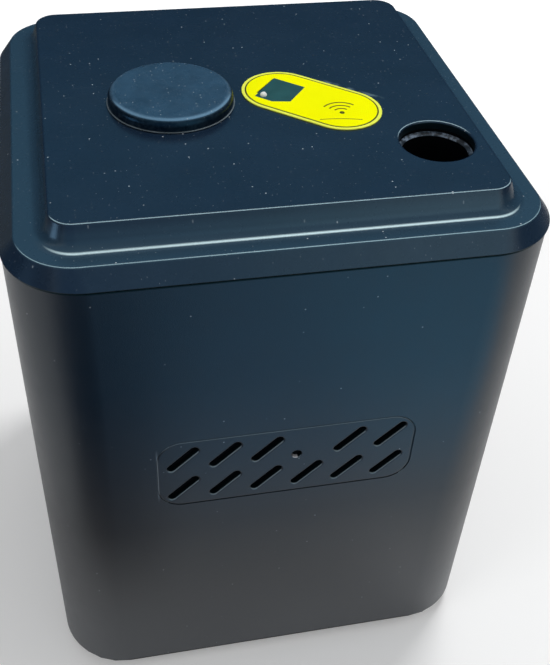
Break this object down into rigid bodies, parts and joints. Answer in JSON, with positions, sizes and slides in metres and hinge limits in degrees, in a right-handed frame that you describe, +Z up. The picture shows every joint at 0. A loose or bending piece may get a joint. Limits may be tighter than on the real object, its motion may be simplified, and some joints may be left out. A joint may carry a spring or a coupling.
{
  "type": "cold spark machine",
  "caption": "Square black stage-effect machine with a stepped lid, a round filler cap, a yellow label with a small display, and a nozzle hole that blows cold sparks upwards.",
  "frame": {"origin": "middle of the footprint, on the floor under the feet", "axes": "+Z up; +X to the right seen from the front; +Y to the back, where the connectors and the fan are"},
  "size_m": [0.2, 0.1986, 0.2581],
  "materials": {
    "black_plastic": "satin moulded plastic with a fine grain",
    "black_body": "satin black",
    "rubber": "matte",
    "cap_black": "satin, a little dusty",
    "yellow_film": "printed film, plain yellow with a dark line round it",
    "display_tint": "dark tinted window",
    "steel": "plain",
    "zinc": "zinc plated sheet",
    "copper": "bare copper",
    "brass": "turned",
    "ceramic": "unglazed ceramic",
    "board": "green solder mask",
    "grey_plastic": "dark grey moulding",
    "hopper_plastic": "natural moulding",
    "aluminium": "plain"
  },
  "bodies": {
    "root": {"lid": "black_plastic", "connector_tray": "black_plastic", "power_inlet": "black_plastic", "switch_frame": "black_plastic", "body_shell": "black_body", "base_plate": "black_body", "dmx_in_socket": "black_body", "dmx_out_socket": "black_body", "deck": "zinc", "motor_gearbox": "zinc", "feed_bracket": "zinc", "tube_saddle": "zinc", "foot_front_left": "rubber", "corner_post_front_left": "zinc", "post_screw_front_left": "steel", "foot_front_right": "rubber", "corner_post_front_right": "zinc", "post_screw_front_right": "steel", "foot_rear_right": "rubber", "corner_post_rear_right": "zinc", "post_screw_rear_right": "steel", "foot_rear_left": "rubber", "corner_post_rear_left": "zinc", "post_screw_rear_left": "steel", "label_overlay": "yellow_film", "display_window": "display_tint", "digit_display": "grey_plastic", "display_board": "board", "driver_board": "board", "control_board": "board", "hopper_neck": "hopper_plastic", "hopper_tank": "hopper_plastic", "feed_tube": "aluminium", "air_duct": "aluminium", "power_supply": "aluminium", "heat_sink": "aluminium", "auger_bush": "brass", "motor_can": "steel", "heating_chamber": "steel", "air_diffuser": "steel", "nozzle_tube": "steel", "coil_bobbin": "ceramic", "thermostat": "ceramic", "induction_coil": "copper", "blower_housing": "grey_plastic", "cooling_fan_frame": "grey_plastic", "infrared_eye": "grey_plastic", "fan_screw_lower_left": "steel", "fan_screw_lower_right": "steel", "fan_screw_upper_right": "steel", "fan_screw_upper_left": "steel"},
    "cap": {"hopper_cap": "cap_black"},
    "feed_drive": {"feed_auger": "steel", "shaft_coupler": "brass", "motor_shaft": "steel"},
    "blower_wheel": {"blower_impeller": "grey_plastic"},
    "fan_wheel": {"cooling_fan_rotor": "grey_plastic"},
    "rocker": {"switch_rocker": "black_plastic"},
    "fuse_holder": {"fuse_drawer": "black_plastic"},
    "latch": {"dmx_out_latch": "zinc"}
  },
  "joints": [
    {"name": "cap_lift", "type": "slide", "parent": "root", "child": "cap", "axis": [0, 0, 1], "range_m": [0, 0.04]},
    {"name": "auger_spin", "type": "hinge", "parent": "root", "child": "feed_drive", "pos_m": [-0.0322, -0.00397, 0.1318], "axis": [0.9138, -0.4062, 0], "continuous": true},
    {"name": "blower_spin", "type": "hinge", "parent": "root", "child": "blower_wheel", "pos_m": [0.0485, -0.04651, 0.0351], "axis": [0, 1, 0], "continuous": true},
    {"name": "fan_spin", "type": "hinge", "parent": "root", "child": "fan_wheel", "pos_m": [0, 0.08615, 0.1538], "axis": [0, 1, 0], "continuous": true},
    {"name": "switch_rock", "type": "hinge", "parent": "root", "child": "rocker", "pos_m": [0.0139, 0.08925, 0.0398], "axis": [1, 0, 0], "range_deg": [0, 16]},
    {"name": "fuse_pull", "type": "slide", "parent": "root", "child": "fuse_holder", "axis": [0, 1, 0], "range_m": [0, 0.018]},
    {"name": "latch_press", "type": "slide", "parent": "root", "child": "latch", "axis": [0, -1, 0], "range_m": [0, 0.0015], "stiffness_N_per_m": 400}
  ]
}
